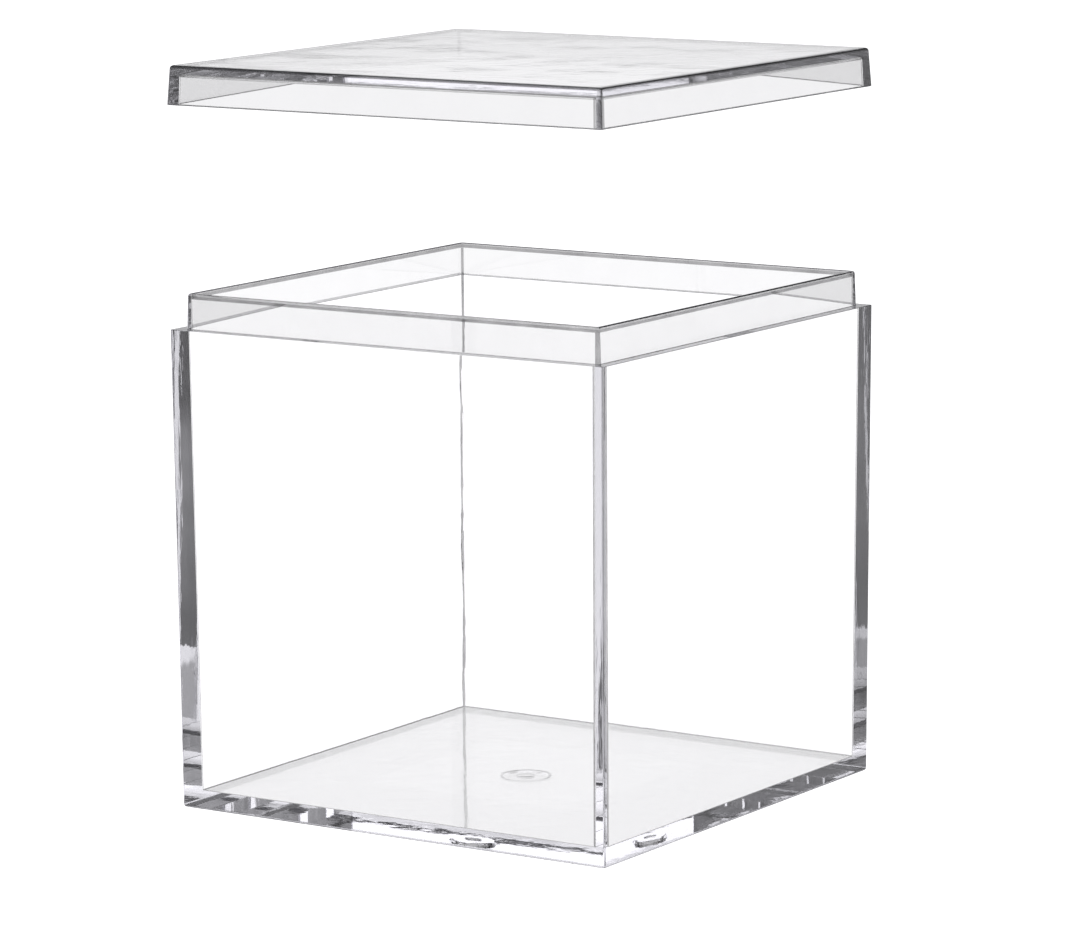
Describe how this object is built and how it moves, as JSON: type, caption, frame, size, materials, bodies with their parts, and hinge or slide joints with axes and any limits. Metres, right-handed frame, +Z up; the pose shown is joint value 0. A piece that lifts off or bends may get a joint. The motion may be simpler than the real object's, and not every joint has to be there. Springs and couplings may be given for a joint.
{
  "type": "display cube",
  "caption": "Clear square display box with a stepped neck and a shallow lift-off lid.",
  "frame": {"origin": "centre of the box's flat underside, on the surface that it stands on", "axes": "+Z up, along the way the lid lifts; X and Y square to the walls"},
  "size_m": [0.065, 0.065, 0.0953],
  "materials": {
    "box_clear_plastic": "polished",
    "lid_clear_plastic": "polished"
  },
  "bodies": {
    "box": {"box_body": "box_clear_plastic"},
    "lid": {"lid": "lid_clear_plastic"}
  },
  "joints": [
    {"name": "lid_lift", "type": "slide", "parent": "box", "child": "lid", "axis": [0, 0, 1], "range_m": [-0.0277, 0.0223]}
  ]
}
